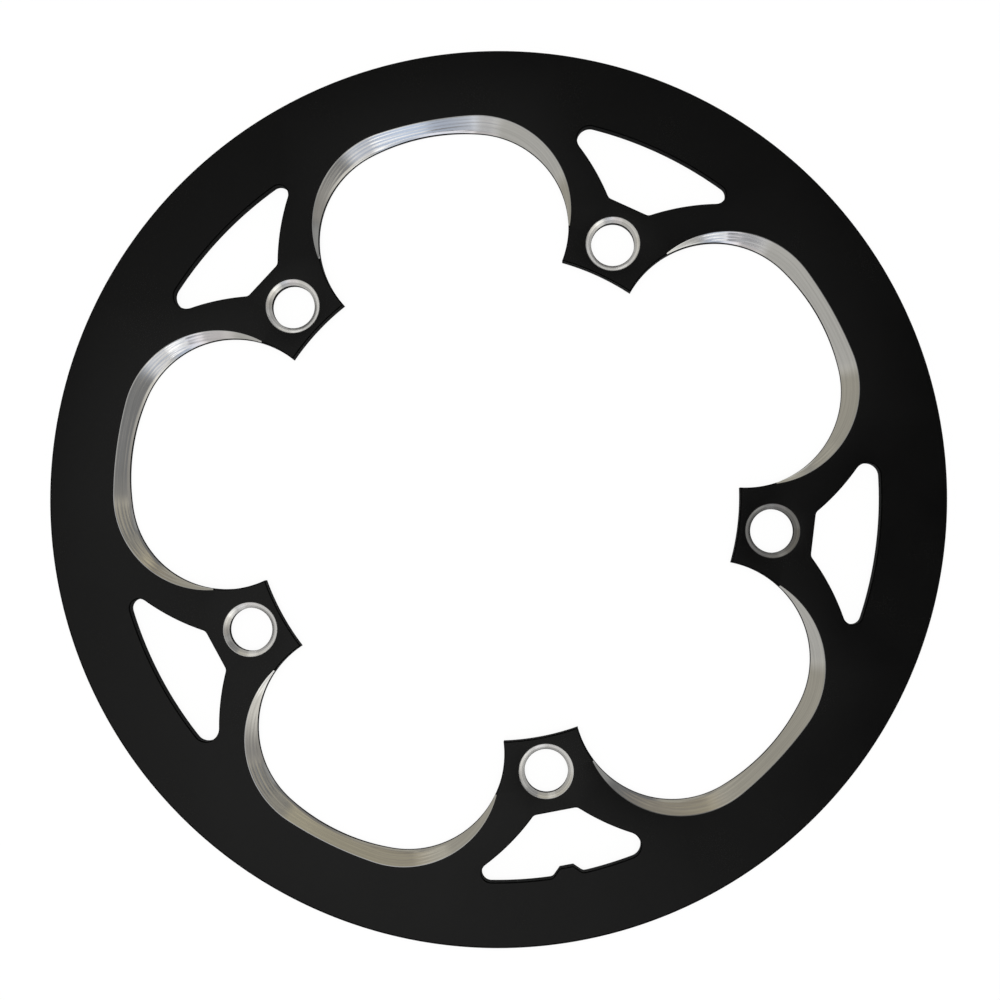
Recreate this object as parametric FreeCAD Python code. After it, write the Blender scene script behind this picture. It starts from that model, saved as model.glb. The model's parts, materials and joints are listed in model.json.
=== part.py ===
import FreeCAD, Part
import math
import os

os.makedirs("parts", exist_ok=True)

Vector = FreeCAD.Vector

# Frame: the crank axis is Z, the back (mounting) face lies on z = 0 and the front face looks along +Z.
# The tab with the index lug in its window lies on -Y.

# Plate and rim, mm
plate_thickness = 3.5
rim_width = 15.15
rim_edge_break = 0.4
edge_break = 0.25

# Bolt pattern, mm
bolt_count = 5
bolt_circle_diameter = 130.0
bolt_hole_diameter = 10.1
bolt_countersink_width = 1.3
bolt_back_chamfer = 0.4

# Turn of the cut profile (opening and windows) against the bolts and bevels, degrees
profile_turn = 0.3

# Tabs that carry the bolts, mm
tab_width = 17.4
tab_end_margin = 7.85

# Windows behind the tabs, mm
window_web = 9.45
window_height = 15.05
window_flat_width = 10.2
window_spread = 49.0
window_side_radius = 52.5
window_root_radius = 1.5
window_left_tip_radius = 2.2
window_right_tip_radius = 3.0

# Index lug in one window, mm
lug_height = 2.0
lug_top_width = 3.2
lug_base_width = 7.3
lug_root_radius = 1.2

# Scallops between the tabs, mm
scallop_crown_radius = 48.0
scallop_corner_radius = 22.6

# Milled bevel on the outer side of each scallop, mm and degrees
bevel_width = 3.1
bevel_corner_radius = 22.4
bevel_tab_width = 20.3
bevel_angle = 30.0

# Sizes that follow
bolt_radius = bolt_circle_diameter / 2
tab_end_radius = bolt_radius - tab_end_margin
window_flat = bolt_radius + window_web
pocket_radius = window_flat + window_height
outer_radius = pocket_radius + rim_width
scallop_reach = pocket_radius - bevel_width
tab_step = 360 / bolt_count
half_step = tab_step / 2
overcut = plate_thickness

axis_point = Vector(0, 0, 0)


def turned(point, degrees):
    """The point turned about the crank axis."""
    angle = math.radians(degrees)
    x = point.x * math.cos(angle) - point.y * math.sin(angle)
    y = point.x * math.sin(angle) + point.y * math.cos(angle)
    return Vector(x, y, point.z)


def mirrored(point):
    """The point on the other side of the index tab's middle line."""
    return Vector(-point.x, point.y, point.z)


def toward(start, target, distance):
    """The point at a distance from start on the way to target."""
    way = target - start
    return start + way * (distance / way.Length)


def circle_crossing(centre_a, radius_a, centre_b, radius_b):
    """The crossing of two circles on the left of the way from centre_a to centre_b."""
    way = centre_b - centre_a
    gap = way.Length
    along = (gap**2 + radius_a**2 - radius_b**2) / (2 * gap)
    aside = math.sqrt(radius_a**2 - along**2)
    left = Vector(-way.y, way.x, 0) * (aside / gap)
    return centre_a + way * (along / gap) + left


def arc(centre, start, end):
    """The shorter arc about the centre from start to end."""
    radius = (start - centre).Length
    middle = toward(centre, (start + end) * 0.5, radius)
    return Part.Arc(start, middle, end).toShape()


def line(start, end):
    return Part.LineSegment(start, end).toShape()


def at_height(wire, z):
    lifted = wire.copy()
    lifted.translate(Vector(0, 0, z))
    return lifted


def prism(wire):
    """A straight cutter that passes through both faces of the plate."""
    face = Part.Face(at_height(wire, -overcut))
    return face.extrude(Vector(0, 0, plate_thickness + 2 * overcut))


def flared(outline, low, high, grow_low, grow_high):
    """A cutter with sloping walls between two sizes of one outline."""
    low_wire = at_height(outline(grow_low), low)
    high_wire = at_height(outline(grow_high), high)
    return Part.makeLoft([low_wire, high_wire], True, True)


def through_cut(outline):
    """A straight cutter with its edge breaks at both faces."""
    front = flared(outline, plate_thickness - edge_break, plate_thickness + edge_break, 0, 2 * edge_break)
    back = flared(outline, -edge_break, edge_break, 2 * edge_break, 0)
    return prism(outline(0)).fuse([front, back])


def copies(shape):
    """The shape at every tab."""
    result = []
    for number in range(bolt_count):
        copy = shape.copy()
        copy.rotate(axis_point, Vector(0, 0, 1), number * tab_step)
        result.append(copy)
    return result


def opening_outline(grow):
    """The middle opening: concave tab ends and scallops in turn, grown outward by a margin."""
    crown_centre = turned(Vector(0, scallop_crown_radius - scallop_reach, 0), half_step)
    corner_x = tab_width / 2 + scallop_corner_radius
    centre_gap = scallop_crown_radius - scallop_corner_radius
    corner_drop = math.sqrt(centre_gap**2 - (corner_x - crown_centre.x) ** 2)
    corner_centre = Vector(corner_x, crown_centre.y - corner_drop, 0)
    corner_radius = scallop_corner_radius + grow
    end_radius = tab_end_radius + grow

    tab_corner = circle_crossing(corner_centre, corner_radius, axis_point, end_radius)
    blend = toward(crown_centre, corner_centre, scallop_crown_radius + grow)
    next_blend = turned(mirrored(blend), tab_step)
    next_corner = turned(mirrored(tab_corner), tab_step)
    next_centre = turned(mirrored(corner_centre), tab_step)
    sector = Part.Wire([
        arc(axis_point, mirrored(tab_corner), tab_corner),
        arc(corner_centre, tab_corner, blend),
        arc(crown_centre, blend, next_blend),
        arc(next_centre, next_blend, next_corner),
    ])
    edges = []
    for copy in copies(sector):
        edges.extend(copy.Edges)
    return Part.Wire(Part.__sortEdges__(edges))


def bevel_outline(grow):
    """The milled bevel's outline about the scallop beside the index tab, grown outward by a margin."""
    corner_x = bevel_tab_width / 2 + bevel_corner_radius
    corner_reach = pocket_radius - bevel_corner_radius
    corner_centre = Vector(corner_x, -math.sqrt(corner_reach**2 - corner_x**2), 0)
    radius = bevel_corner_radius + grow
    tab_side = corner_centre + Vector(-radius, 0, 0)
    inner_end = corner_centre + turned(Vector(-radius, 0, 0), -half_step)
    blend = toward(axis_point, corner_centre, pocket_radius + grow)
    next_inner_end = turned(mirrored(inner_end), tab_step)
    next_tab_side = turned(mirrored(tab_side), tab_step)
    next_blend = turned(mirrored(blend), tab_step)
    next_centre = turned(mirrored(corner_centre), tab_step)
    return Part.Wire([
        arc(corner_centre, inner_end, tab_side),
        arc(corner_centre, tab_side, blend),
        arc(axis_point, blend, next_blend),
        arc(next_centre, next_blend, next_tab_side),
        arc(next_centre, next_tab_side, next_inner_end),
        line(next_inner_end, inner_end),
    ])


def window_half(tip_radius, grow):
    """Points and centres of the window's right half, from the flat to the rim, grown by a margin."""
    root = Vector(window_flat_width / 2, -window_flat, 0)
    tip_x = window_spread / 2
    tip = Vector(tip_x, -math.sqrt(pocket_radius**2 - tip_x**2), 0)
    side_centre = circle_crossing(root, window_side_radius, tip, window_side_radius)
    side_radius = window_side_radius - grow
    flat = window_flat - grow

    root_y = -window_flat - window_root_radius
    root_gap = window_side_radius + window_root_radius
    root_x = side_centre.x - math.sqrt(root_gap**2 - (root_y - side_centre.y) ** 2)
    root_centre = Vector(root_x, root_y, 0)
    tip_gap = window_side_radius + tip_radius
    tip_centre = circle_crossing(side_centre, tip_gap, axis_point, pocket_radius - tip_radius)

    flat_end = Vector(root_x, -flat, 0)
    side_start = toward(side_centre, root_centre, side_radius)
    side_end = toward(side_centre, tip_centre, side_radius)
    rim_start = toward(axis_point, tip_centre, pocket_radius + grow)
    nose = tip_centre + Vector(tip_radius + grow, 0, 0)
    return flat_end, root_centre, side_start, side_centre, side_end, tip_centre, nose, rim_start


def half_edges(points):
    """Edges of the window's right half in order from the flat to the rim."""
    flat_end, root_centre, side_start, side_centre, side_end, tip_centre, nose, rim_start = points
    return [
        arc(root_centre, flat_end, side_start),
        arc(side_centre, side_start, side_end),
        arc(tip_centre, side_end, nose),
        arc(tip_centre, nose, rim_start),
    ]


def window_sides(grow):
    """The window's two halves, and the edges of both with the flat between them."""
    right = window_half(window_right_tip_radius, grow)
    left = []
    for point in window_half(window_left_tip_radius, grow):
        left.append(mirrored(point))
    edges = half_edges(right) + half_edges(left)
    edges.append(line(left[0], right[0]))
    return left, right, edges


def window_outline(grow):
    """A plain window behind its tab, grown outward by a margin."""
    left, right, edges = window_sides(grow)
    edges.append(arc(axis_point, left[-1], right[-1]))
    return Part.Wire(Part.__sortEdges__(edges))


def lug_half(grow):
    """Points and root centre of the lug's right half, from its top to the rim, cut back by the margin."""
    top = Vector(lug_top_width / 2, lug_height - pocket_radius, 0)
    foot = Vector(lug_base_width / 2, -pocket_radius, 0)
    down = toward(axis_point, foot - top, 1)
    open_side = Vector(-down.y, down.x, 0)

    start = top + open_side * lug_root_radius
    along = start.dot(down)
    root_reach = pocket_radius - lug_root_radius
    root_centre = start + down * (math.sqrt(along**2 - start.dot(start) + root_reach**2) - along)

    flank = top - open_side * grow
    corner = flank + down * ((top.y - grow - flank.y) / down.y)
    flank_end = root_centre - open_side * (lug_root_radius + grow)
    rim_start = toward(axis_point, root_centre, pocket_radius + grow)
    return corner, flank_end, root_centre, rim_start


def index_window_outline(grow):
    """The window with the index lug, which stands on its outer edge and points at the axis."""
    left, right, edges = window_sides(grow)
    corner, flank_end, root_centre, rim_start = lug_half(grow)
    edges.extend([
        line(mirrored(corner), corner),
        line(corner, flank_end),
        arc(root_centre, flank_end, rim_start),
        arc(axis_point, rim_start, right[-1]),
        line(mirrored(corner), mirrored(flank_end)),
        arc(mirrored(root_centre), mirrored(flank_end), mirrored(rim_start)),
        arc(axis_point, mirrored(rim_start), left[-1]),
    ])
    return Part.Wire(Part.__sortEdges__(edges))


def bolt_hole():
    """A bolt hole in the index tab with its wide front countersink and small back chamfer."""
    radius = bolt_hole_diameter / 2
    place = Vector(0, -bolt_radius, 0)
    bore = Part.makeCylinder(radius, plate_thickness + 2 * overcut, place - Vector(0, 0, overcut))
    rise = bolt_countersink_width
    sink_base = place + Vector(0, 0, plate_thickness - rise)
    sink = Part.makeCone(radius, radius + 2 * rise, 2 * rise, sink_base)
    relief_base = place - Vector(0, 0, bolt_back_chamfer)
    relief = Part.makeCone(radius + 2 * bolt_back_chamfer, radius, 2 * bolt_back_chamfer, relief_base)
    return bore.fuse([sink, relief])


def blank():
    """The plain disc with its broken rim edges."""
    disc = Part.makeCylinder(outer_radius, plate_thickness)
    rim_edges = []
    for edge in disc.Edges:
        if isinstance(edge.Curve, Part.Circle):
            rim_edges.append(edge)
    return disc.makeChamfer(rim_edge_break, rim_edges)


def bevel_cut():
    """The bevel's cutter: it widens toward the front at the bevel's slope."""
    slope_run = 1 / math.tan(math.radians(bevel_angle))
    shrink = -plate_thickness * slope_run
    spread = overcut * slope_run
    return flared(bevel_outline, 0, plate_thickness + overcut, shrink, spread)


windows = copies(through_cut(window_outline))
windows[0] = through_cut(index_window_outline)
profile = [through_cut(opening_outline)] + windows
for cutter in profile:
    cutter.rotate(axis_point, Vector(0, 0, 1), profile_turn)

guard = blank().cut(profile)
guard = guard.cut(copies(bolt_hole()))
guard = guard.cut(copies(bevel_cut()))
guard = guard.removeSplitter()

solid = guard.Solids[0]
print("solids", len(guard.Solids), "valid", solid.isValid(), "volume", solid.Volume, "box", solid.BoundBox)
solid.exportStep("parts/guard_plate.step")
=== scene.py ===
import json
import math
from collections import namedtuple

import bmesh
import bpy
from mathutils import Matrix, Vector


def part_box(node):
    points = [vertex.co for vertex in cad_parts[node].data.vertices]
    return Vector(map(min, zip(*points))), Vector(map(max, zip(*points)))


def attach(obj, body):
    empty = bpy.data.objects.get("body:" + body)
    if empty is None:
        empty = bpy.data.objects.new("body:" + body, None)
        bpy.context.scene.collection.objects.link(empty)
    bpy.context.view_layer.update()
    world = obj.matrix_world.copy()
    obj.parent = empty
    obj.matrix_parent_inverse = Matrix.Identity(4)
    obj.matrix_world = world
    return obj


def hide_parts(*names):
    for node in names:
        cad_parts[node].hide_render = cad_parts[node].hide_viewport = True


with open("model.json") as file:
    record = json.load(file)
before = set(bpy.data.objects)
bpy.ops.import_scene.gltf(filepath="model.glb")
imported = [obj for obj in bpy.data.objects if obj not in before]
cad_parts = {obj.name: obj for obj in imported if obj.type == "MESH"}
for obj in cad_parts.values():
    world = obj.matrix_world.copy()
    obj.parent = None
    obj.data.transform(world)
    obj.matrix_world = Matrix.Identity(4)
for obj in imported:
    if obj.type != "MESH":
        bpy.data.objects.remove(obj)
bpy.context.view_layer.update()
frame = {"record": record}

# Sizes in millimetres, in the frame of the CAD part: Z is the crank axis, the index tab lies on -Y.
MM = 0.001
plate_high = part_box("guard_plate")[1]
bolt_circle = next(m for m in frame["record"]["mounts"] if m["name"] == "bolt_circle")
tab_count = bolt_circle["dims"]["count"]
bolt_radius = bolt_circle["dims"]["pcd_mm"] / 2
bolt_hole_radius = bolt_circle["dims"]["hole_r_mm"]
plate_thickness = plate_high.z / MM
rim_inset = 0.02
outer_radius = plate_high.x / MM - rim_inset

# Edges of the plate
rim_edge_break = 0.4
edge_break = 0.25
bolt_countersink_width = 1.3
bolt_back_chamfer = 0.4

# The two cuts of a countersink, and the eased edge round it
first_cut_width = 0.55
first_cut_slope = math.tan(math.radians(36.0))
second_cut_slope = math.tan(math.radians(42.0))
countersink_ease = 0.12

# Tabs, windows and the index lug; the cut profile sits a little round from the bolts and bevels
profile_turn = math.radians(0.3)
tab_width = 17.4
tab_end_radius = bolt_radius - 7.85
window_flat = bolt_radius + 9.45
window_flat_width = 10.2
window_spread = 49.0
window_side_radius = 52.5
window_root_radius = 1.5
window_left_tip_radius = 2.2
window_right_tip_radius = 3.0
pocket_radius = window_flat + 15.05
lug_height = 2.0
lug_top_width = 3.2
lug_base_width = 7.3
lug_root_radius = 1.2

# Scallops and their milled bevels
bevel_width = 3.1
scallop_reach = pocket_radius - bevel_width
scallop_crown_radius = 48.0
scallop_corner_radius = 22.6
bevel_corner_radius = 22.4
bevel_tab_width = 20.3
bevel_slope = math.tan(math.radians(30.0))

# Tool passes on a bevel: how many, rows of faces in each, and how hollow each one is
bevel_passes = 3
pass_rows = 4
pass_hollow = 0.004

# The bevel's eased outer edge, and the steeper strip where the tool ran out along its inner edge
eased_width = 0.14
eased_slope = math.tan(math.radians(5.0))
run_out_width = 0.45
run_out_slope = math.tan(math.radians(35.0))

# The heights at which a countersink's first cut starts and ends, and the share of painted shade that
# darkens the second cut below it, standing in for the dimmer light that cut reflects
countersink_top = plate_thickness - countersink_ease * eased_slope
countersink_step = countersink_top - first_cut_width * first_cut_slope
second_cut_painted_shade = 0.72

# The tab, counted from the index tab, whose bolt seat gets painted shade: a dark patch standing in for
# the dimmer light on that side of the plate
painted_shade_tab = 1
painted_shade_reach = 9.0
painted_shade_share = 0.28

# Finishes, as numbers that the faces carry
ANODISED, CUT, MILLED, REAMED = range(4)

half_sector = math.pi / tab_count

# Lengths of the mesh's edges along the outlines, and round the bolt holes
curve_step = 0.5
hole_step = 0.25

# How near the vertices of neighbouring sectors weld, and the least bend that stays a sharp edge
weld_distance = 0.003
crease_angle = math.radians(14.0)


# Points on the plate, as flat vectors in millimetres

def turned(point, angle):
    """The point turned about the crank axis."""
    cosine, sine = math.cos(angle), math.sin(angle)
    return Vector((point.x * cosine - point.y * sine, point.x * sine + point.y * cosine))


def mirrored(point):
    """The point on the other side of the tab's middle line."""
    return Vector((-point.x, point.y))


def toward(start, target, distance):
    """The point at a distance from start on the way to target."""
    return start + (target - start).normalized() * distance


def circle_crossing(centre_a, radius_a, centre_b, radius_b):
    """The crossing of two circles on the left of the way from centre_a to centre_b."""
    way = centre_b - centre_a
    gap = way.length
    along = (gap**2 + radius_a**2 - radius_b**2) / (2 * gap)
    aside = math.sqrt(radius_a**2 - along**2)
    return centre_a + way * (along / gap) + Vector((-way.y, way.x)) * (aside / gap)


def arc_run(centre, start, end):
    """Points along the shorter arc from start up to the one before end."""
    spoke = start - centre
    first = math.atan2(spoke.y, spoke.x)
    last = math.atan2((end - centre).y, (end - centre).x)
    sweep = (last - first + math.pi) % (2 * math.pi) - math.pi
    count = max(1, math.ceil(abs(sweep) * spoke.length / curve_step))
    return [centre + turned(spoke, sweep * step / count) for step in range(count)]


def grown(path, margin, closed, end_normals=None):
    """The path moved into the metal, which lies on its right, with mitred corners."""
    count = len(path)
    result = []
    for place, point in enumerate(path):
        before = path[place - 1] if closed or place else None
        after = path[(place + 1) % count] if closed or place + 1 < count else None
        if before is None or after is None:
            result.append(point + end_normals[0 if before is None else 1] * margin)
            continue
        sides = []
        for way in (point - before, after - point):
            sides.append(Vector((way.y, -way.x)).normalized())
        mitre = (sides[0] + sides[1]) / (1 + sides[0].dot(sides[1]))
        result.append(point + mitre * margin)
    return result


def opening_half():
    """The middle opening's edge, from the tab's middle line to the scallop's middle on its right."""
    axis = Vector((0, 0))
    crown_centre = turned(Vector((0, scallop_crown_radius - scallop_reach)), half_sector)
    corner_x = tab_width / 2 + scallop_corner_radius
    centre_gap = scallop_crown_radius - scallop_corner_radius
    corner_y = crown_centre.y - math.sqrt(centre_gap**2 - (corner_x - crown_centre.x) ** 2)
    corner_centre = Vector((corner_x, corner_y))
    tab_middle = Vector((0, -tab_end_radius))
    tab_corner = circle_crossing(corner_centre, scallop_corner_radius, axis, tab_end_radius)
    blend = toward(crown_centre, corner_centre, scallop_crown_radius)
    scallop_middle = turned(Vector((0, -scallop_reach)), half_sector)
    path = arc_run(axis, tab_middle, tab_corner)
    path += arc_run(corner_centre, tab_corner, blend)
    path += arc_run(crown_centre, blend, scallop_middle)
    return path + [scallop_middle]


def bevel_foot(point):
    """How wide the bevel is at a point on the scallop's edge, and the point on its outer edge."""
    side = 1 if point.x >= 0 else -1
    corner_x = bevel_tab_width / 2 + bevel_corner_radius
    reach = pocket_radius - bevel_corner_radius
    corner_centre = Vector((corner_x, -math.sqrt(reach**2 - corner_x**2)))
    right_point = Vector((point.x * side, point.y))
    past_blend = corner_centre.x * right_point.y - corner_centre.y * right_point.x > 0
    centre = Vector((0, 0)) if past_blend else corner_centre
    radius = pocket_radius if past_blend else bevel_corner_radius
    spoke = right_point - centre
    outer = centre + spoke.normalized() * radius
    return radius - spoke.length, Vector((outer.x * side, outer.y))


def window_half(tip_radius):
    """The window's edge on the right of the tab's middle line, from its flat to its tip at the rim."""
    root = Vector((window_flat_width / 2, -window_flat))
    tip_x = window_spread / 2
    tip = Vector((tip_x, -math.sqrt(pocket_radius**2 - tip_x**2)))
    side_centre = circle_crossing(root, window_side_radius, tip, window_side_radius)
    root_y = -window_flat - window_root_radius
    root_gap = window_side_radius + window_root_radius
    root_x = side_centre.x - math.sqrt(root_gap**2 - (root_y - side_centre.y) ** 2)
    root_centre = Vector((root_x, root_y))
    tip_gap = window_side_radius + tip_radius
    tip_centre = circle_crossing(side_centre, tip_gap, Vector((0, 0)), pocket_radius - tip_radius)
    flat_end = Vector((root_x, -window_flat))
    side_start = toward(side_centre, root_centre, window_side_radius)
    side_end = toward(side_centre, tip_centre, window_side_radius)
    nose = tip_centre + Vector((tip_radius, 0))
    rim_end = tip_centre.normalized() * pocket_radius
    path = arc_run(root_centre, flat_end, side_start)
    path += arc_run(side_centre, side_start, side_end)
    path += arc_run(tip_centre, side_end, nose)
    path += arc_run(tip_centre, nose, rim_end)
    return path + [rim_end]


def lug_half():
    """The index lug's edge on the right, from the window's rim to the lug's top."""
    top = Vector((lug_top_width / 2, lug_height - pocket_radius))
    foot = Vector((lug_base_width / 2, -pocket_radius))
    down = (foot - top).normalized()
    open_side = Vector((-down.y, down.x))
    start = top + open_side * lug_root_radius
    along = start.dot(down)
    root_reach = pocket_radius - lug_root_radius
    root_centre = start + down * (math.sqrt(along**2 - start.length_squared + root_reach**2) - along)
    rim_start = root_centre.normalized() * pocket_radius
    flank_end = root_centre - open_side * lug_root_radius
    return arc_run(root_centre, rim_start, flank_end) + [flank_end, top]


def window_loop(with_lug):
    """The whole edge of a window, with its open side on the left of the way round."""
    axis = Vector((0, 0))
    right = window_half(window_right_tip_radius)
    left = [mirrored(point) for point in window_half(window_left_tip_radius)]
    if with_lug:
        lug = lug_half()
        lug_left = [mirrored(point) for point in lug[::-1]]
        rim = arc_run(axis, right[-1], lug[0]) + lug
        rim += lug_left[:-1] + arc_run(axis, lug_left[-1], left[-1])
    else:
        rim = arc_run(axis, right[-1], left[-1])
    loop = right[:-1] + rim + left[::-1]
    return [turned(point, profile_turn) for point in loop[::-1]]


def circle_loop(centre, radius, count):
    """Points round a circle."""
    spoke = Vector((radius, 0))
    return [centre + turned(spoke, 2 * math.pi * step / count) for step in range(count)]


# The plate's sector about one tab

def bevel_section(point, plain_front):
    """Points, heights and finishes down the bevel, from the plate's front to the scallop's wall."""
    width, outer = bevel_foot(point)
    rows = bevel_passes * pass_rows
    if width <= edge_break:
        section = [(plain_front, plate_thickness)] * (rows + 2)
        section.append((point, plate_thickness - edge_break))
        return section, [CUT] * (rows + 2)
    fullness = min(1, width / bevel_width)
    first_run = eased_width * fullness
    last_run = width - run_out_width * fullness
    first_drop = first_run * eased_slope
    last_drop = first_drop + (last_run - first_run) * bevel_slope
    steps = [(0, 0)]
    for row in range(rows + 1):
        share = row / rows
        hollow = 1 - (2 * (row % pass_rows) / pass_rows - 1) ** 2
        run = first_run + (last_run - first_run) * share
        drop = first_drop + (last_drop - first_drop) * share
        steps.append((run, drop + pass_hollow * hollow * fullness))
    steps.append((width, max(edge_break, last_drop + (width - last_run) * run_out_slope)))
    section = [(outer.lerp(point, run / width), plate_thickness - drop) for run, drop in steps]
    return section, [MILLED] * (rows + 2)


def add_column(sector, section):
    """One vertex for each different point of a section."""
    column = []
    for place, (point, height) in enumerate(section):
        if place and section[place - 1] == (point, height):
            column.append(column[-1])
        else:
            column.append(sector.verts.new((point.x * MM, point.y * MM, height * MM)))
    return column


def add_rows(sector, sections, closed, outward=True):
    """Faces between neighbouring sections, and the front and back edges they end in."""
    finish_layer = sector.faces.layers.int["finish"]
    columns = [(add_column(sector, section), finishes) for section, finishes in sections]
    pairs = list(zip(columns, columns[1:]))
    if closed:
        pairs.append((columns[-1], columns[0]))
    for pair in pairs:
        (here, finishes), (there, next_finishes) = pair if outward else pair[::-1]
        for row, finish in enumerate(finishes):
            corners = (here[row], there[row], there[row + 1], here[row + 1])
            corners = list(dict.fromkeys(corners))
            if len(corners) > 2:
                face = sector.faces.new(corners)
                face[finish_layer] = finish if finish == next_finishes[row] else CUT
    return [column[0] for column, _ in columns], [column[-1] for column, _ in columns]


def wall_sections(path, grown_path, broken):
    """Sections of a straight wall with a broken edge at the front and at the back."""
    sections = []
    for point, wide in zip(path, grown_path):
        section = [
            (wide, plate_thickness),
            (point, plate_thickness - broken),
            (point, broken),
            (wide, 0),
        ]
        sections.append((section, [CUT] * 3))
    return sections


def opening_sections():
    """Sections along the middle opening's edge, from one scallop's middle to the next."""
    half = opening_half()
    path = [mirrored(point) for point in half[:0:-1]] + half
    path = [turned(point, profile_turn) for point in path]
    ends = (path[0].normalized(), path[-1].normalized())
    wide = grown(path, edge_break, False, ends)
    sections = []
    for point, front in zip(path, wide):
        section, finishes = bevel_section(point, front)
        section += [(point, edge_break), (front, 0)]
        sections.append((section, finishes + [CUT] * 2))
    return sections


def rim_sections():
    """Sections along the round rim of one sector."""
    count = math.ceil(2 * half_sector * outer_radius / curve_step)
    first = profile_turn - half_sector
    turns = [first + 2 * half_sector * step / count for step in range(count + 1)]
    spokes = [turned(Vector((0, -1)), turn) for turn in turns]
    rim = [spoke * outer_radius for spoke in spokes]
    inset = [spoke * (outer_radius - rim_edge_break) for spoke in spokes]
    return wall_sections(rim, inset, rim_edge_break)


def hole_sections():
    """Sections round a bolt hole: its bare countersink in two cuts, and its black bore."""
    centre = Vector((0, -bolt_radius))
    count = math.ceil(2 * math.pi * bolt_hole_radius / hole_step)
    mouth = bolt_hole_radius + bolt_countersink_width
    eased = mouth - countersink_ease
    first_cut_end = eased - first_cut_width
    second_cut_depth = (first_cut_end - bolt_hole_radius) * second_cut_slope
    stations = [
        (mouth, plate_thickness),
        (eased, countersink_top),
        (first_cut_end, countersink_step),
        (bolt_hole_radius, countersink_step - second_cut_depth),
        (bolt_hole_radius, bolt_back_chamfer),
        (bolt_hole_radius + bolt_back_chamfer, 0),
    ]
    rings = [circle_loop(centre, radius, count) for radius, height in stations]
    sections = []
    for points in zip(*rings):
        section = [(point, height) for point, (radius, height) in zip(points, stations)]
        sections.append((section, [REAMED] * 3 + [CUT] * 2))
    return sections


def fill_face(sector, outline, holes, normal):
    """A flat face of the plate between its outer outline and its holes."""
    edges = []
    for loop in [outline] + holes:
        for here, there in zip(loop, loop[1:] + loop[:1]):
            edges.append(sector.edges.get((here, there)) or sector.edges.new((here, there)))
    bmesh.ops.triangle_fill(sector, use_beauty=True, use_dissolve=False, edges=edges, normal=normal)


def sector_mesh(name, with_lug, coat):
    """One tab with its hole, window and half a scallop on each side."""
    sector = bmesh.new()
    sector.faces.layers.int.new("finish")
    window = window_loop(with_lug)
    window_wide = grown(window, edge_break, True)
    window_walls = wall_sections(window, window_wide, edge_break)
    inner_front, inner_back = add_rows(sector, opening_sections(), False)
    outer_front, outer_back = add_rows(sector, rim_sections(), False, outward=False)
    window_front, window_back = add_rows(sector, window_walls, True)
    hole_front, hole_back = add_rows(sector, hole_sections(), True)
    fill_face(sector, outer_front + inner_front[::-1], [window_front, hole_front], (0, 0, 1))
    fill_face(sector, outer_back + inner_back[::-1], [window_back, hole_back], (0, 0, -1))
    mesh = bpy.data.meshes.new(name)
    sector.to_mesh(mesh)
    sector.free()
    mesh.materials.append(coat)
    return mesh


# Noise mostly lies in the wide range; marks that follow the narrow one have harder edges
wide_range = (0.3, 0.7)
narrow_range = (0.35, 0.65)

# The black coat: its tones, and its grains, handling marks and cells with a speck of dust
coat_dark = (0.0007, 0.0007, 0.0008)
coat_light = (0.0013, 0.0013, 0.0012)
grains_per_mm = 5.0
grain_detail = 3.0
grain_depth = 0.04 * MM
grain_strength = 0.06
grain_spread = 0.02
handling_per_mm = 0.06
handling_detail = 4.0
dust_cells_per_mm = 0.13
dust_share = 0.1
dust_radius = 0.05
dust_cover = 0.35
dust_colour = (0.10, 0.10, 0.095)
face_roughness = (0.22, 0.27)
face_gloss = 0.35
edge_roughness = (0.68, 0.74)
edge_gloss = 0.02

# The bare metal: its streaks and scratches run level, so they change quickly only upward
streak_stretch = (0.05, 0.05, 3.2)
streak_detail = 1.0
scratch_stretch = (0.03, 0.03, 5.0)
scratch_detail = 2.0
patches_per_mm = 0.12
patch_detail = 3.0
line_wobble = 0.5
faintest_line, deepest_line = 0.15, 0.6
streak_relief = 2.2
dullest, brightest = 0.84, 1.08
roughness_spread = 0.02
tool_anisotropy = 0.5
tool_turn = 0.25

# The two bare finishes: distance and depth of the tool's lines, colour of the metal, roughness
milled_line_pitch, milled_line_depth = 0.40, 0.004
milled_shade = (0.74, 0.74, 0.735)
milled_roughness = 0.10
reamed_line_pitch, reamed_line_depth = 0.25, 0.002
reamed_shade = (0.90, 0.895, 0.885)
reamed_roughness = 0.20


# Materials

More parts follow.
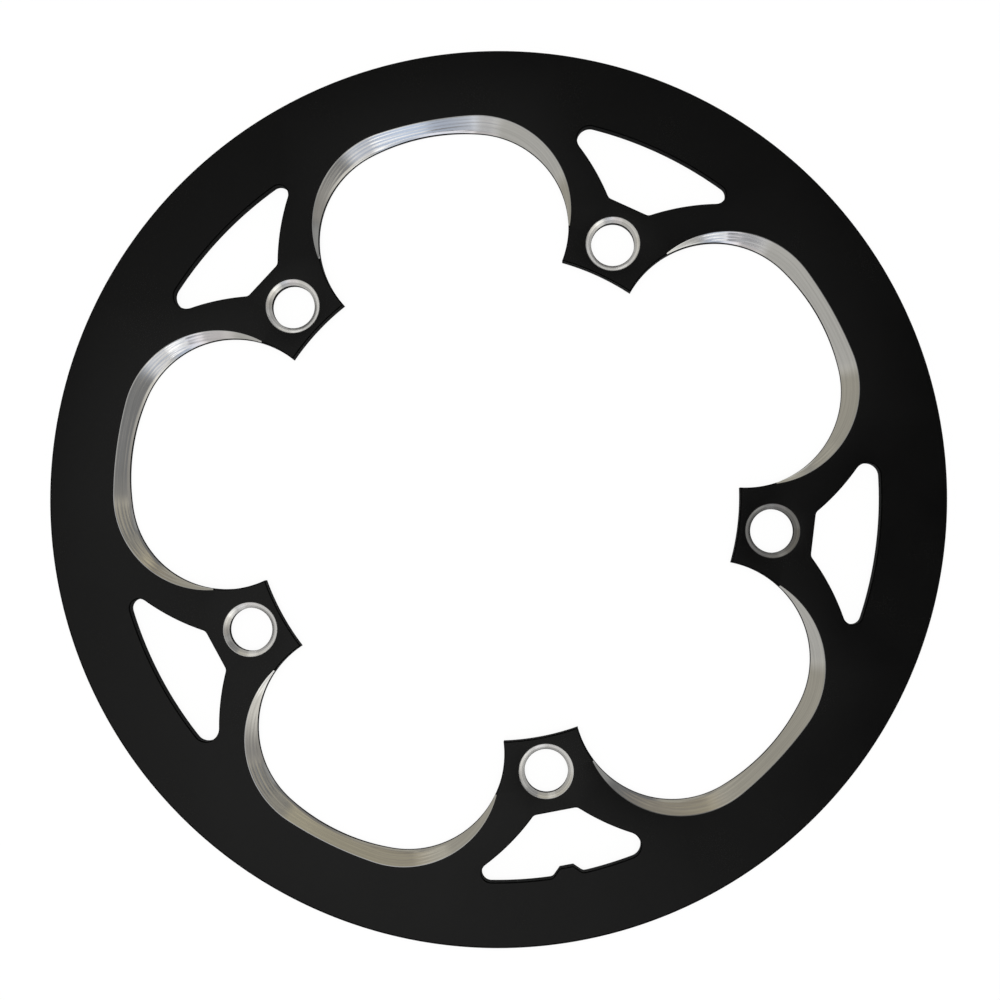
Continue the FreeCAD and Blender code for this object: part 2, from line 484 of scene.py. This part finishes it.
class NodeBench:
    """Adds nodes to one material's tree and joins them."""

    def __init__(self, material):
        material.use_nodes = True
        self.tree = material.node_tree
        self.tree.nodes.clear()

    def add(self, kind, settings=None, **sockets):
        """A new node with its settings, and its sockets by name with _ for a space."""
        node = self.tree.nodes.new(kind)
        for key, value in (settings or {}).items():
            setattr(node, key, value)
        for name, value in sockets.items():
            self.put(node.inputs[name.replace("_", " ")], value)
        return node

    def put(self, socket, value):
        """Joins a socket to another one, or gives it a value."""
        if isinstance(value, bpy.types.NodeSocket):
            self.tree.links.new(value, socket)
        else:
            socket.default_value = value

    def math(self, operation, *values):
        """A sum on numbers."""
        node = self.add("ShaderNodeMath", {"operation": operation})
        for socket, value in zip(node.inputs, values):
            self.put(socket, value)
        return node.outputs[0]

    def noise(self, vector, scale, detail):
        """Soft noise between 0 and 1."""
        node = self.add("ShaderNodeTexNoise", Vector=vector, Scale=scale, Detail=detail)
        return node.outputs["Fac"]

    def ramp(self, value, low, high, first, second):
        """From first where the value is low to second where it is high."""
        node = self.add("ShaderNodeMapRange", Value=value)
        node.inputs["From Min"].default_value = low
        node.inputs["From Max"].default_value = high
        node.inputs["To Min"].default_value = first
        node.inputs["To Max"].default_value = second
        return node.outputs[0]

    def colour(self, share, first, second):
        """A mix of two colours, each given as three numbers or as a socket."""
        node = self.add("ShaderNodeMix", {"data_type": "RGBA"})
        self.put(node.inputs["Factor"], share)
        sides = [socket for socket in node.inputs if socket.type == "RGBA"]
        for socket, value in zip(sides, (first, second)):
            self.put(socket, value if isinstance(value, bpy.types.NodeSocket) else (*value, 1))
        return next(socket for socket in node.outputs if socket.type == "RGBA")

    def vector(self, operation, *values):
        """A sum on vectors or colours."""
        node = self.add("ShaderNodeVectorMath", {"operation": operation})
        for socket, value in zip(node.inputs, values):
            self.put(socket, value)
        return node.outputs[0]

    def millimetres(self, x=1.0, y=1.0, z=1.0):
        """Object coordinates in millimetres, stretched along each axis."""
        place = self.add("ShaderNodeTexCoord").outputs["Object"]
        node = self.add("ShaderNodeMapping", Vector=place)
        node.inputs["Scale"].default_value = (x / MM, y / MM, z / MM)
        return node.outputs[0]


def black_anodise(name, roughness, gloss):
    """Satin black anodised aluminium: a fine blasted grain, handling marks and a few specks of dust."""
    material = bpy.data.materials.new(name)
    bench = NodeBench(material)
    place = bench.millimetres()
    grain = bench.noise(place, grains_per_mm, grain_detail)
    handling = bench.noise(place, handling_per_mm, handling_detail)
    cells = bench.add("ShaderNodeTexVoronoi", {"feature": "F1"}, Vector=place, Scale=dust_cells_per_mm)
    lottery = bench.add("ShaderNodeSeparateColor", Color=cells.outputs["Color"]).outputs[0]
    speck_size = bench.ramp(lottery, 1 - dust_share, 1.0, 0.0, dust_radius)
    speck = bench.math("LESS_THAN", cells.outputs["Distance"], speck_size)
    coat = bench.colour(handling, coat_dark, coat_light)
    dusty = bench.colour(bench.math("MULTIPLY", speck, dust_cover), coat, dust_colour)
    satin = bench.ramp(handling, *wide_range, *roughness)
    blasted = bench.ramp(grain, *wide_range, -grain_spread, grain_spread)
    bump = bench.add("ShaderNodeBump", Strength=grain_strength, Distance=grain_depth, Height=grain)
    shader = bench.add("ShaderNodeBsdfPrincipled")
    shader.inputs["Specular IOR Level"].default_value = gloss
    bench.put(shader.inputs["Base Color"], dusty)
    bench.put(shader.inputs["Roughness"], bench.math("ADD", satin, blasted))
    bench.put(shader.inputs["Normal"], bump.outputs[0])
    output = bench.add("ShaderNodeOutputMaterial")
    bench.put(output.inputs["Surface"], shader.outputs[0])
    return material


def shaded(shade, share):
    """A colour made darker or lighter."""
    return tuple(share * part for part in shade)


def bare_aluminium(name, line_pitch, line_depth, shade, roughness, painted_shade_below=0.0, painted_shade_place=None):
    """Bare machined aluminium with tool lines that keep to one height.

    It can carry painted shade below a height, and painted shade round one place, both darkening its
    colour where the light is dimmer.
    """
    material = bpy.data.materials.new(name)
    bench = NodeBench(material)
    streaks = bench.noise(bench.millimetres(*streak_stretch), 1.0, streak_detail)
    patches = bench.noise(bench.millimetres(), patches_per_mm, patch_detail)
    height = bench.add("ShaderNodeSeparateXYZ", Vector=bench.millimetres()).outputs[2]
    wobble = bench.math("MULTIPLY_ADD", streaks, line_wobble * line_pitch, height)
    line = bench.math("SINE", bench.math("MULTIPLY", wobble, 2 * math.pi / line_pitch))
    depth = bench.ramp(patches, *narrow_range, faintest_line, deepest_line)
    score = bench.math("MULTIPLY", line, depth)
    relief = bench.math("MULTIPLY_ADD", streaks, streak_relief, score)
    bump = bench.add("ShaderNodeBump", Strength=1.0, Distance=line_depth * MM, Height=relief)
    scratches = bench.noise(bench.millimetres(*scratch_stretch), 1.0, scratch_detail)
    scratched = bench.ramp(scratches, *narrow_range, 0.0, 1.0)
    worn = bench.math("MULTIPLY", bench.math("ADD", scratched, patches), 0.5)
    metal = bench.colour(worn, shaded(shade, dullest), shaded(shade, brightest))
    # Painted shade: the metal round one place is darkened, standing in for the dim light there
    if painted_shade_place:
        away = bench.add("ShaderNodeVectorMath", {"operation": "DISTANCE"})
        bench.put(away.inputs[0], bench.millimetres())
        away.inputs[1].default_value = painted_shade_place
        painted_shade_mask = bench.math("LESS_THAN", away.outputs["Value"], painted_shade_reach)
        metal = bench.colour(painted_shade_mask, metal, shaded(shade, painted_shade_share))
    # Painted shade: the metal below the height is darkened, standing in for the dimmer reflection of
    # the lower cut
    if painted_shade_below:
        deep = bench.math("LESS_THAN", height, painted_shade_below)
        metal = bench.colour(bench.math("MULTIPLY", deep, 1 - second_cut_painted_shade), metal, (0, 0, 0))
    facing = bench.add("ShaderNodeNewGeometry").outputs["Normal"]
    along = bench.vector("NORMALIZE", bench.vector("CROSS_PRODUCT", facing, (0, 0, 1)))
    smoothest, roughest = roughness - roughness_spread, roughness + roughness_spread
    polish = bench.ramp(streaks, *wide_range, smoothest, roughest)
    shader = bench.add("ShaderNodeBsdfPrincipled", Metallic=1.0)
    shader.inputs["Anisotropic"].default_value = tool_anisotropy
    shader.inputs["Anisotropic Rotation"].default_value = tool_turn
    bench.put(shader.inputs["Tangent"], along)
    bench.put(shader.inputs["Base Color"], metal)
    bench.put(shader.inputs["Roughness"], polish)
    bench.put(shader.inputs["Normal"], bump.outputs[0])
    output = bench.add("ShaderNodeOutputMaterial")
    bench.put(output.inputs["Surface"], shader.outputs[0])
    return material


# The ring of sectors

def ring_tree():
    """Geometry nodes that set the sectors round the axis, weld them and give each face its finish."""
    tree = bpy.data.node_groups.new("guard_ring", "GeometryNodeTree")
    sockets = {}
    for name, kind in (
        ("Plain sector", "NodeSocketGeometry"),
        ("Index sector", "NodeSocketObject"),
        ("Tab count", "NodeSocketInt"),
        ("Weld distance", "NodeSocketFloat"),
        ("Crease angle", "NodeSocketFloat"),
        ("Anodised finish", "NodeSocketMaterial"),
        ("Cut edge finish", "NodeSocketMaterial"),
        ("Milled finish", "NodeSocketMaterial"),
        ("Reamed finish", "NodeSocketMaterial"),
    ):
        sockets[name] = tree.interface.new_socket(name, in_out="INPUT", socket_type=kind)
    tree.interface.new_socket("Guard", in_out="OUTPUT", socket_type="NodeSocketGeometry")
    given = tree.nodes.new("NodeGroupInput").outputs
    join = tree.links.new

    def node(kind, **settings):
        made = tree.nodes.new(kind)
        for key, value in settings.items():
            setattr(made, key, value)
        return made

    places = node("GeometryNodeMeshLine", mode="OFFSET")
    places.inputs["Offset"].default_value = (0, 0, 0)
    join(given["Tab count"], places.inputs["Count"])
    number = node("GeometryNodeInputIndex").outputs[0]
    step = node("ShaderNodeMath", operation="DIVIDE")
    step.inputs[0].default_value = 2 * math.pi
    join(given["Tab count"], step.inputs[1])
    turn = node("ShaderNodeMath", operation="MULTIPLY")
    join(number, turn.inputs[0])
    join(step.outputs[0], turn.inputs[1])
    spin = node("ShaderNodeCombineXYZ")
    join(turn.outputs[0], spin.inputs["Z"])
    is_index = node("FunctionNodeCompare", data_type="INT", operation="EQUAL")
    join(number, is_index.inputs[2])
    is_index.inputs[3].default_value = 0
    is_plain = node("FunctionNodeBooleanMath", operation="NOT")
    join(is_index.outputs[0], is_plain.inputs[0])
    index_sector = node("GeometryNodeObjectInfo")
    join(given["Index sector"], index_sector.inputs["Object"])

    whole = node("GeometryNodeJoinGeometry")
    for shape, chosen in (
        (index_sector.outputs["Geometry"], is_index.outputs[0]),
        (given["Plain sector"], is_plain.outputs[0]),
    ):
        copies = node("GeometryNodeInstanceOnPoints")
        join(places.outputs[0], copies.inputs["Points"])
        join(chosen, copies.inputs["Selection"])
        join(shape, copies.inputs["Instance"])
        join(spin.outputs[0], copies.inputs["Rotation"])
        join(copies.outputs[0], whole.inputs[0])

    real = node("GeometryNodeRealizeInstances")
    join(whole.outputs[0], real.inputs[0])
    weld = node("GeometryNodeMergeByDistance")
    join(real.outputs[0], weld.inputs["Geometry"])
    join(given["Weld distance"], weld.inputs["Distance"])
    smooth = node("GeometryNodeSetShadeSmooth", domain="FACE")
    join(weld.outputs[0], smooth.inputs["Geometry"])
    bend = node("GeometryNodeInputMeshEdgeAngle")
    crease = node("FunctionNodeCompare", data_type="FLOAT", operation="GREATER_THAN")
    join(bend.outputs["Unsigned Angle"], crease.inputs[0])
    join(given["Crease angle"], crease.inputs[1])
    sharp = node("GeometryNodeSetShadeSmooth", domain="EDGE")
    join(smooth.outputs[0], sharp.inputs["Geometry"])
    join(crease.outputs[0], sharp.inputs["Selection"])
    sharp.inputs["Shade Smooth"].default_value = False

    finish = node("GeometryNodeInputNamedAttribute", data_type="INT")
    finish.inputs["Name"].default_value = "finish"
    coated = node("GeometryNodeSetMaterial")
    join(sharp.outputs[0], coated.inputs["Geometry"])
    join(given["Anodised finish"], coated.inputs["Material"])
    others = ((CUT, "Cut edge finish"), (MILLED, "Milled finish"), (REAMED, "Reamed finish"))
    for other, name in others:
        same = node("FunctionNodeCompare", data_type="INT", operation="EQUAL")
        join(finish.outputs["Attribute"], same.inputs[2])
        same.inputs[3].default_value = other
        cut = node("GeometryNodeSetMaterial")
        join(coated.outputs[0], cut.inputs["Geometry"])
        join(same.outputs[0], cut.inputs["Selection"])
        join(given[name], cut.inputs["Material"])
        coated = cut
    join(coated.outputs[0], node("NodeGroupOutput").inputs["Guard"])
    return tree, sockets


def guard_plate():
    """The dressed guard plate as one plain mesh."""
    scene = bpy.context.scene
    coat = black_anodise("black_anodise", face_roughness, face_gloss)
    plain = bpy.data.objects.new("plain_sector", sector_mesh("plain_sector", False, coat))
    index = bpy.data.objects.new("index_sector", sector_mesh("index_sector", True, coat))
    scene.collection.objects.link(plain)
    scene.collection.objects.link(index)
    # The bolt seat that gets painted shade
    painted_shade_hole = turned(Vector((0, -bolt_radius)), painted_shade_tab * 2 * half_sector)
    cut_edge = black_anodise("black_cut_edge", edge_roughness, edge_gloss)
    bevel = bare_aluminium(
        "milled_bevel", milled_line_pitch, milled_line_depth, milled_shade, milled_roughness
    )
    # The seat's colour carries painted shade below the step between its cuts and round one hole
    seat = bare_aluminium(
        "reamed_bolt_seat", reamed_line_pitch, reamed_line_depth, reamed_shade, reamed_roughness,
        painted_shade_below=countersink_step, painted_shade_place=(*painted_shade_hole, plate_thickness),
    )
    tree, sockets = ring_tree()
    ring = plain.modifiers.new("ring", "NODES")
    ring.node_group = tree
    for name, value in (
        ("Index sector", index),
        ("Tab count", tab_count),
        ("Weld distance", weld_distance * MM),
        ("Crease angle", crease_angle),
        ("Anodised finish", coat),
        ("Cut edge finish", cut_edge),
        ("Milled finish", bevel),
        ("Reamed finish", seat),
    ):
        ring[sockets[name].identifier] = value
    evaluated = plain.evaluated_get(bpy.context.evaluated_depsgraph_get())
    mesh = bpy.data.meshes.new_from_object(evaluated)
    mesh.name = "guard_plate_finished"
    plain.modifiers.remove(ring)
    bpy.data.objects.remove(plain)
    bpy.data.objects.remove(index)
    piece = bpy.data.objects.new("guard_plate_finished", mesh)
    scene.collection.objects.link(piece)
    return piece


# The white sheet under the plate: how white, how much of it glows by itself, half its width and its gap
paper_white = 0.9
sheet_glow = 0.92
sheet_reach = 3.0
sheet_gap = 0.02 * MM

# The lamp, in metres and watts
lamp_size = 1.2
lamp_height = 1.5
lamp_power = 22.0

# The camera, in millimetres and degrees
camera_place = Vector((12.87, -15.80, 382.55))
camera_turns = (1.827, 2.143, -10.724)
camera_lens = 58.68
camera_sensor = 36.0
camera_nearest = 10.0


# Floor, light and camera

def white_sheet():
    """A plain white floor that shows white to the camera and in the metal, and keeps a soft shadow."""
    material = bpy.data.materials.new("white_sheet")
    bench = NodeBench(material)
    rays = bench.add("ShaderNodeLightPath").outputs
    seen = bench.math("MAXIMUM", rays["Is Camera Ray"], rays["Is Glossy Ray"])
    seen = bench.math("MAXIMUM", seen, rays["Is Transmission Ray"])
    paper = bench.add("ShaderNodeBsdfDiffuse", Color=(paper_white, paper_white, paper_white, 1))
    glow = bench.add("ShaderNodeEmission", Color=(1, 1, 1, 1), Strength=1.0)
    mix = bench.add("ShaderNodeMixShader")
    bench.put(mix.inputs[0], bench.math("MULTIPLY", seen, sheet_glow))
    bench.put(mix.inputs[1], paper.outputs[0])
    bench.put(mix.inputs[2], glow.outputs[0])
    output = bench.add("ShaderNodeOutputMaterial")
    bench.put(output.inputs["Surface"], mix.outputs[0])
    mesh = bpy.data.meshes.new("floor")
    signs = ((-1, -1), (1, -1), (1, 1), (-1, 1))
    corners = [(x * sheet_reach, y * sheet_reach, -sheet_gap) for x, y in signs]
    mesh.from_pydata(corners, [], [(0, 1, 2, 3)])
    mesh.materials.append(material)
    floor = bpy.data.objects.new("floor", mesh)
    bpy.context.scene.collection.objects.link(floor)


def overhead_lamp():
    """A wide soft lamp above the floor, which lights it to the level at which white is white."""
    light = bpy.data.lights.new("overhead_lamp", "AREA")
    light.shape = "SQUARE"
    light.size = lamp_size
    light.energy = lamp_power
    lamp = bpy.data.objects.new("overhead_lamp", light)
    lamp.location = (0, 0, lamp_height)
    lamp.visible_glossy = False
    bpy.context.scene.collection.objects.link(lamp)


# The room, in degrees: ways round are from the photograph's right, heights are above the horizon
view_turn = -10.7
ceiling_base = (0.062, 0.062, 0.062)
wall_base = (0.12, 0.12, 0.12)
wall_low, wall_high, wall_edge = 18, 54, 6
skirting = (0.66, 0.655, 0.64)
skirting_low, skirting_high = 7, 24

# Panels on the walls, whose light adds up; level_edge softens the top and the bottom
Panel = namedtuple("Panel", "turn half_width side_edge low high level_edge colour")
wall_panels = [
    # The pale wall on the left, with a duller rail across it
    Panel(-143, 26, 12, 15, 62, 3, (0.325, 0.315, 0.285)),
    Panel(-101, 7, 10, 15, 40, 1.5, (0.45, 0.42, 0.42)),
    Panel(-101, 7, 10, 40, 43, 1, (0.07, 0.08, 0.10)),
    Panel(-101, 7, 10, 43.2, 62, 1, (0.44, 0.435, 0.43)),
    # The daylight toward the photograph's lower edge
    Panel(-87, 4, 5, 28, 40.2, 1.5, (0.46, 0.42, 0.42)),
    Panel(-86, 5, 10, 44, 54, 1, (0.20, 0.24, 0.32)),
    Panel(-74, 8, 1, 40.8, 43.6, 1, (0.72, 0.71, 0.69)),
    Panel(-60, 11, 12, 40.8, 44.3, 1, (0.75, 0.735, 0.72)),
    Panel(-62, 10, 20, 45.1, 54, 0.7, (0.34, 0.385, 0.48)),
    Panel(-76, 6, 1, 45.1, 54, 0.7, (0.04, 0.08, 0.14)),
    Panel(-78, 4, 14, 30, 39.6, 1.2, (0.42, 0.48, 0.60)),
    Panel(-52, 8, 10, 15, 35.5, 2, (0.55, 0.55, 0.54)),
    # The dim wall on the right
    Panel(-16, 24, 8, 15, 43, 1, (0.145, 0.13, 0.105)),
    Panel(-20, 30, 8, 44, 54, 1.5, (0.04, 0.04, 0.04)),
    Panel(-36, 6, 32, 15, 40, 2, (0.46, 0.45, 0.41)),
    Panel(24, 6, 8, 15, 39.5, 1.5, (0.15, 0.15, 0.14)),
    Panel(30, 18, 14, 43.8, 54, 0.7, (0.24, 0.21, 0.14)),
    # The warm wall toward the photograph's upper edge
    Panel(52, 10, 8, 38.5, 41.2, 1, (0.20, 0.18, 0.12)),
    Panel(84, 22, 10, 40, 54, 1, (0.20, 0.17, 0.085)),
    Panel(88, 14, 10, 15, 35.5, 1.5, (0.23, 0.21, 0.15)),
    Panel(80, 30, 12, 36, 40, 1, (0.085, 0.06, 0.025)),
    Panel(118, 8, 8, 35.5, 38.3, 1, (0.17, 0.16, 0.13)),
    Panel(148, 30, 16, 15, 54, 4, (0.21, 0.19, 0.135)),
    # Two low gaps that glint in the bolt seats
    Panel(-78, 6, 8, -5, 26, 3, (0.34, 0.34, 0.35)),
    Panel(106, 6, 8, -5, 26, 3, (0.26, 0.26, 0.25)),
]

# The bright part of the ceiling and the dark corner of it: way round, height, half width, edge
ceiling_glow = (-125, 84, 3, 21)
glow_colour = (0.52, 0.52, 0.51)
dark_corner = (-5, 79, 5, 9)
dark_corner_depth = 0.85


def way_to(azimuth, height):
    """The direction toward a place in the room."""
    turn, rise = math.radians(azimuth + view_turn), math.radians(height)
    level = math.cos(rise)
    return Vector((math.cos(turn) * level, math.sin(turn) * level, math.sin(rise)))


class RoomBench(NodeBench):
    """Node helpers for the world, which read the direction that is looked in."""

    def __init__(self, world):
        super().__init__(world)
        self.way = self.add("ShaderNodeTexCoord").outputs["Generated"]
        parts = self.add("ShaderNodeSeparateXYZ", Vector=self.way).outputs
        self.rise = parts[2]
        self.turn = self.math("ARCTAN2", parts[1], parts[0])

    def along(self, direction):
        """How nearly the look goes in a direction, as a cosine."""
        node = self.add("ShaderNodeVectorMath", {"operation": "DOT_PRODUCT"})
        self.put(node.inputs[0], self.way)
        node.inputs[1].default_value = direction
        return node.outputs["Value"]

    def soft_step(self, value, none, full):
        """From 0 where the value is none to 1 where it is full."""
        node = self.add("ShaderNodeMapRange", {"interpolation_type": "SMOOTHSTEP"}, Value=value)
        node.inputs["From Min"].default_value = none
        node.inputs["From Max"].default_value = full
        return node.outputs[0]

    def scaled(self, colour, share):
        """A colour times a share."""
        node = self.add("ShaderNodeVectorMath", {"operation": "SCALE"})
        self.put(node.inputs[0], colour)
        self.put(node.inputs["Scale"], share)
        return node.outputs[0]

    def lobe(self, azimuth, height, half_width, edge):
        """A round patch with a soft edge."""
        none, full = math.radians(half_width + edge), math.radians(half_width)
        return self.soft_step(self.along(way_to(azimuth, height)), math.cos(none), math.cos(full))

    def stripe(self, azimuth, half_width, edge):
        """An upright stripe with soft edges."""
        past = self.math("SUBTRACT", self.turn, math.radians(azimuth + view_turn))
        none, full = math.radians(half_width + edge), math.radians(half_width)
        return self.soft_step(self.math("PINGPONG", past, math.pi), none, full)

    def between(self, low, high, edge):
        """A level band with soft edges."""
        return self.math("MULTIPLY", self.above(low - edge, low), self.above(high + edge, high))

    def above(self, none, full):
        """From 0 at one height to 1 at another."""
        return self.soft_step(self.rise, math.sin(math.radians(none)), math.sin(math.radians(full)))


def room_light():
    """The world: plain soft panels round the part, a glow overhead, and white behind it."""
    world = bpy.data.worlds.new("room")
    bpy.context.scene.world = world
    bench = RoomBench(world)
    walls = bench.scaled(wall_base, bench.between(wall_low, wall_high, wall_edge))
    for panel in wall_panels:
        stripe = bench.stripe(panel.turn, panel.half_width, panel.side_edge)
        level = bench.between(panel.low, panel.high, panel.level_edge)
        share = bench.math("MULTIPLY", stripe, level)
        walls = bench.vector("ADD", walls, bench.scaled(panel.colour, share))
    foot = bench.scaled(skirting, bench.above(skirting_high, skirting_low))
    glow = bench.scaled(glow_colour, bench.lobe(*ceiling_glow))
    undimmed = bench.math("MULTIPLY_ADD", bench.lobe(*dark_corner), -dark_corner_depth, 1.0)
    overhead = bench.scaled(bench.vector("ADD", glow, ceiling_base), undimmed)
    lit = bench.vector("ADD", bench.vector("ADD", walls, foot), overhead)
    room = bench.add("ShaderNodeBackground", Strength=1.0)
    bench.put(room.inputs["Color"], lit)
    white = bench.add("ShaderNodeBackground", Color=(1, 1, 1, 1), Strength=1.0)
    rays = bench.add("ShaderNodeLightPath").outputs
    mix = bench.add("ShaderNodeMixShader")
    bench.put(mix.inputs[0], rays["Is Camera Ray"])
    bench.put(mix.inputs[1], room.outputs[0])
    bench.put(mix.inputs[2], white.outputs[0])
    output = bench.add("ShaderNodeOutputWorld")
    bench.put(output.inputs["Surface"], mix.outputs[0])


def camera_above():
    """The camera hangs above the plate, a little to one side of the crank axis."""
    camera = bpy.data.cameras.new("camera_above")
    camera.sensor_width = camera_sensor
    camera.lens = camera_lens
    camera.clip_start = camera_nearest * MM
    holder = bpy.data.objects.new("camera_above", camera)
    holder.location = camera_place * MM
    holder.rotation_euler = [math.radians(turn) for turn in camera_turns]
    bpy.context.scene.collection.objects.link(holder)
    bpy.context.scene.camera = holder


bpy.context.scene.view_settings.view_transform = "Standard"
plate = guard_plate()
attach(plate, "root")
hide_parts("guard_plate")
white_sheet()
overhead_lamp()
room_light()
camera_above()
